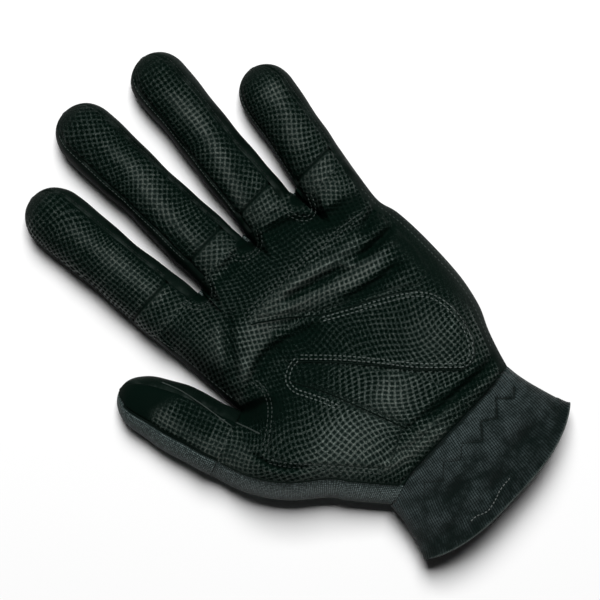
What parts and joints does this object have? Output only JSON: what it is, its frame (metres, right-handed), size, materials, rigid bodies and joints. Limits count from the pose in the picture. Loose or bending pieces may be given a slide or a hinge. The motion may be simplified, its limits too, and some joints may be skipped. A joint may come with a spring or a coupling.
{
  "type": "tactical glove",
  "caption": "Left-hand tactical glove lying palm up: dimpled black leather palm and fingers with sewn patches, smooth side walls, stretch-fabric back and a ribbed elastic cuff.",
  "frame": {"origin": "under the middle of the glove, on the surface it lies on, with the back of the hand down", "axes": "+Y from the cuff to the fingertips, +X to the little-finger side, +Z out of the palm"},
  "size_m": [0.1538, 0.2482, 0.0247],
  "materials": {
    "dimpled_leather": "black leather embossed with a grid of square dimples",
    "smooth_leather": "smooth matt black leather",
    "stretch_fabric": "dark grey knitted stretch fabric",
    "ribbed_fabric": "near-black ribbed fabric with a fine diagonal weave",
    "elastic": "flat black elastic tape"
  },
  "bodies": {
    "hand": {"palm_panel": "dimpled_leather", "thumb_side_strip": "stretch_fabric", "back_panel": "stretch_fabric", "heel_patch": "dimpled_leather", "palm_wedge": "dimpled_leather", "palm_gusset": "dimpled_leather", "thenar_patch": "dimpled_leather"},
    "cuff": {"cuff_front": "ribbed_fabric", "cuff_back": "ribbed_fabric", "cuff_hem_front": "ribbed_fabric", "cuff_hem_back": "ribbed_fabric", "wrist_elastic": "elastic"},
    "index_proximal": {"index_base_panel": "dimpled_leather", "index_front_lower": "dimpled_leather", "index_back_lower": "stretch_fabric", "index_littleside_wall_lower": "smooth_leather", "index_thumbside_wall_lower": "smooth_leather"},
    "index_distal": {"index_front_tip": "dimpled_leather", "index_back_tip": "stretch_fabric", "index_littleside_wall_tip": "smooth_leather", "index_thumbside_wall_tip": "smooth_leather"},
    "middle_proximal": {"middle_base_panel": "dimpled_leather", "middle_front_lower": "dimpled_leather", "middle_back_lower": "stretch_fabric", "middle_littleside_wall_lower": "smooth_leather", "middle_thumbside_wall_lower": "smooth_leather"},
    "middle_distal": {"middle_front_tip": "dimpled_leather", "middle_back_tip": "stretch_fabric", "middle_littleside_wall_tip": "smooth_leather", "middle_thumbside_wall_tip": "smooth_leather"},
    "ring_proximal": {"ring_base_panel": "dimpled_leather", "ring_front_lower": "dimpled_leather", "ring_back_lower": "stretch_fabric", "ring_littleside_wall_lower": "smooth_leather", "ring_thumbside_wall_lower": "smooth_leather"},
    "ring_distal": {"ring_front_tip": "dimpled_leather", "ring_back_tip": "stretch_fabric", "ring_littleside_wall_tip": "smooth_leather", "ring_thumbside_wall_tip": "smooth_leather"},
    "little_proximal": {"little_base_panel": "dimpled_leather", "little_front_lower": "dimpled_leather", "little_back_lower": "stretch_fabric", "little_littleside_wall_lower": "smooth_leather", "little_thumbside_wall_lower": "smooth_leather"},
    "little_distal": {"little_front_tip": "dimpled_leather", "little_back_tip": "stretch_fabric", "little_littleside_wall_tip": "smooth_leather", "little_thumbside_wall_tip": "smooth_leather"},
    "thumb_base": {"thumb_front_lower": "dimpled_leather", "thumb_back_lower": "stretch_fabric", "thumb_inner_wall_lower": "smooth_leather"},
    "thumb_end": {"thumb_front_tip": "dimpled_leather", "thumb_back_tip": "stretch_fabric", "thumb_inner_wall_tip": "smooth_leather"}
  },
  "joints": [
    {"name": "wrist_fold", "type": "hinge", "parent": "hand", "child": "cuff", "pos_m": [0.01172, -0.0871, 0.018], "axis": [-1, 0, 0], "range_deg": [0, 55]},
    {"name": "index_knuckle", "type": "hinge", "parent": "hand", "child": "index_proximal", "pos_m": [-0.02998, 0.0309, 0.017], "axis": [1, 0, 0], "range_deg": [0, 80]},
    {"name": "index_middle_joint", "type": "hinge", "parent": "index_proximal", "child": "index_distal", "pos_m": [-0.03249, 0.07102, 0.01547], "axis": [0.998, 0.0628, 0], "range_deg": [0, 95]},
    {"name": "middle_knuckle", "type": "hinge", "parent": "hand", "child": "middle_proximal", "pos_m": [0.00002, 0.0329, 0.017], "axis": [1, 0, 0], "range_deg": [0, 80]},
    {"name": "middle_middle_joint", "type": "hinge", "parent": "middle_proximal", "child": "middle_distal", "pos_m": [0.00034, 0.0791, 0.01553], "axis": [1, -0.007, 0], "range_deg": [0, 95]},
    {"name": "ring_knuckle", "type": "hinge", "parent": "hand", "child": "ring_proximal", "pos_m": [0.02812, 0.0319, 0.017], "axis": [1, 0, 0], "range_deg": [0, 80]},
    {"name": "ring_middle_joint", "type": "hinge", "parent": "ring_proximal", "child": "ring_distal", "pos_m": [0.03397, 0.07369, 0.01553], "axis": [0.9903, -0.1392, 0], "range_deg": [0, 95]},
    {"name": "little_knuckle", "type": "hinge", "parent": "hand", "child": "little_proximal", "pos_m": [0.05507, 0.0239, 0.017], "axis": [1, 0, 0], "range_deg": [0, 80]},
    {"name": "little_middle_joint", "type": "hinge", "parent": "little_proximal", "child": "little_distal", "pos_m": [0.06207, 0.05327, 0.01528], "axis": [0.9724, -0.2334, 0], "range_deg": [0, 95]},
    {"name": "thumb_base_joint", "type": "hinge", "parent": "hand", "child": "thumb_base", "pos_m": [-0.05514, -0.0205, 0.018], "axis": [0.9588, 0.284, 0], "range_deg": [0, 55]},
    {"name": "thumb_end_joint", "type": "hinge", "parent": "thumb_base", "child": "thumb_end", "pos_m": [-0.06201, 0.0027, 0.01526], "axis": [0.9588, 0.284, 0], "range_deg": [0, 70]}
  ]
}
